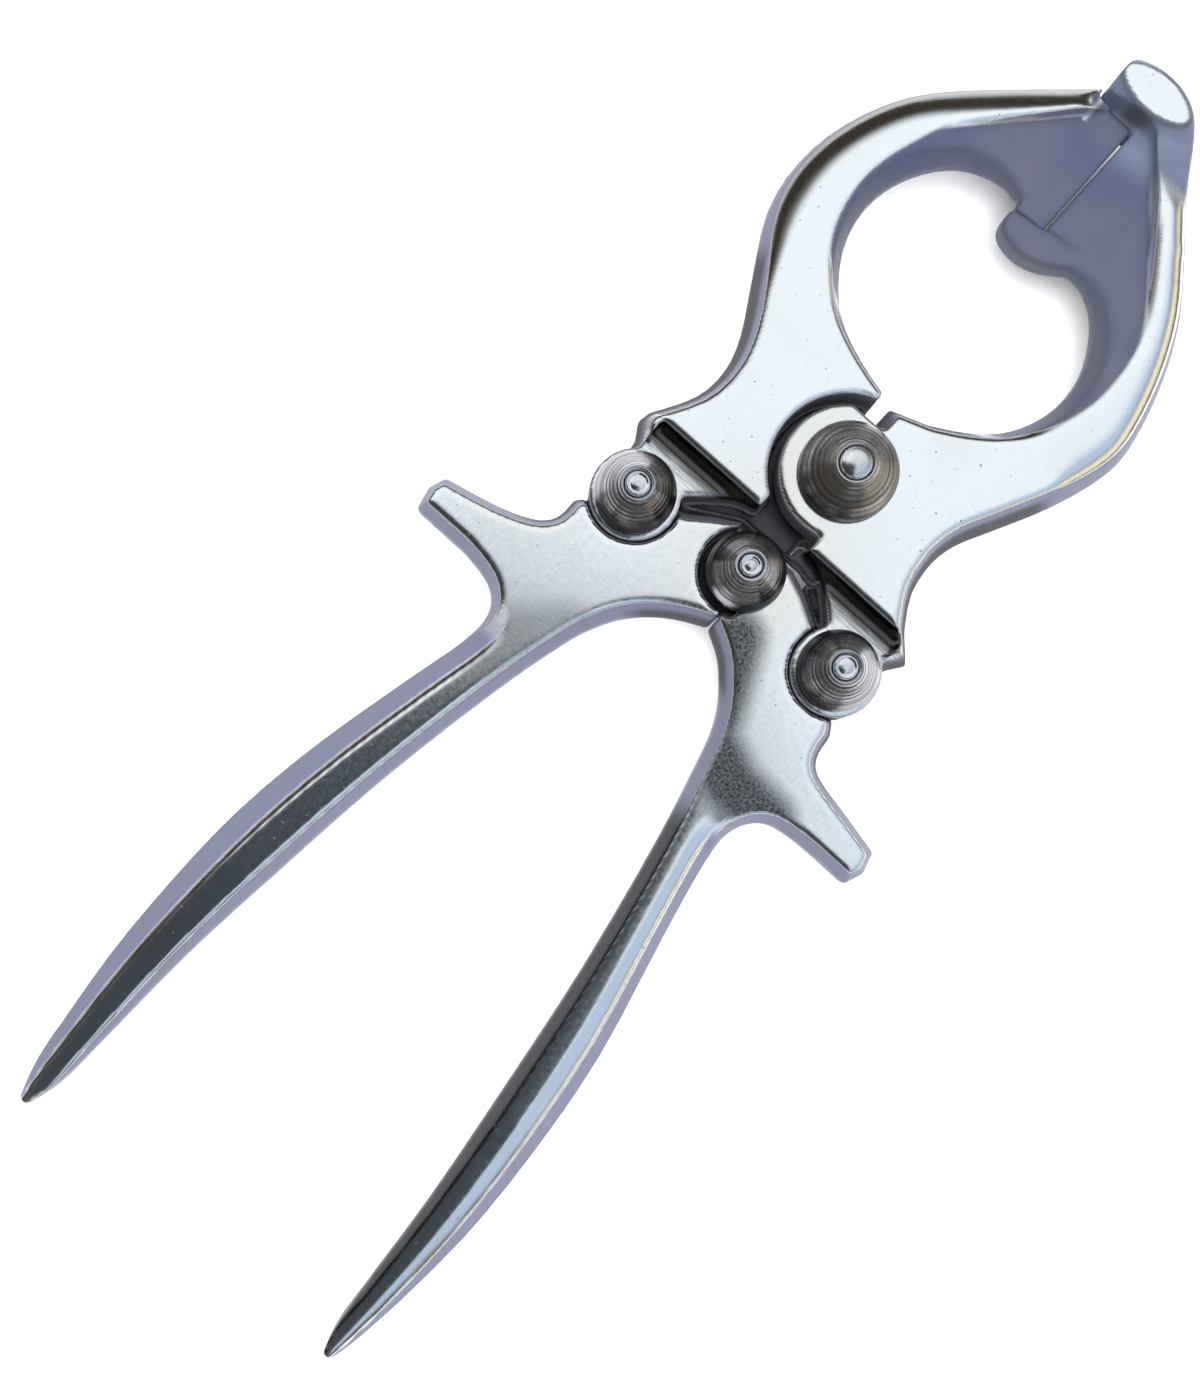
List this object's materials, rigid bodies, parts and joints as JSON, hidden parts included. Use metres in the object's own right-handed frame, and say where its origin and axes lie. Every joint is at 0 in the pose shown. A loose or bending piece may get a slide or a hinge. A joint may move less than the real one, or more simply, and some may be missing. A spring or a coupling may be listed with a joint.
{
  "type": "compound lever crushing pliers",
  "caption": "Forged steel crushing pliers: ring-shaped jaws driven through a toggle by two tapered handles with side lugs, riveted at conical collars.",
  "frame": {"origin": "on the main pin's axis, at its flat back end, which the tool lies on", "axes": "+Y from the grips to the jaw tips, +X towards the right jaw and handle, +Z out of the front face"},
  "size_m": [0.0874, 0.2289, 0.023],
  "materials": {
    "forged_steel": "ground and polished faces, satin sides",
    "turned_steel": "turned, fine concentric rings",
    "pin_steel": "peened ends"
  },
  "bodies": {
    "left_jaw_assembly": {"left_jaw": "forged_steel", "main_pin": "pin_steel", "main_collar_front": "turned_steel", "main_collar_back": "turned_steel", "left_pin": "pin_steel", "left_collar_front": "turned_steel", "left_collar_back": "turned_steel"},
    "right_jaw_assembly": {"right_jaw": "forged_steel", "right_pin": "pin_steel", "right_collar_front": "turned_steel", "right_collar_back": "turned_steel"},
    "left_handle_assembly": {"left_handle": "forged_steel"},
    "right_handle_assembly": {"right_handle": "forged_steel", "link_pin": "pin_steel", "link_collar_front": "turned_steel", "link_collar_back": "turned_steel"}
  },
  "joints": [
    {"name": "left_handle_pivot", "type": "hinge", "parent": "left_jaw_assembly", "child": "left_handle_assembly", "pos_m": [-0.0213, -0.0229, 0.0115], "axis": [0, 0, 1], "range_deg": [-48.25, 0]},
    {"name": "main_pivot", "type": "hinge", "parent": "left_jaw_assembly", "child": "right_jaw_assembly", "pos_m": [0, 0, 0.0115], "axis": [0, 0, 1], "range_deg": [-16.8, 0]},
    {"name": "right_handle_pivot", "type": "hinge", "parent": "right_jaw_assembly", "child": "right_handle_assembly", "pos_m": [0.0184, -0.0226, 0.0115], "axis": [0, 0, 1], "range_deg": [0, 49.99]}
  ],
  "couplings": [
    {"joint": "main_pivot", "follows": "left_handle_pivot", "ratio": 0.34818},
    {"joint": "right_handle_pivot", "follows": "left_handle_pivot", "ratio": -1.0359}
  ]
}
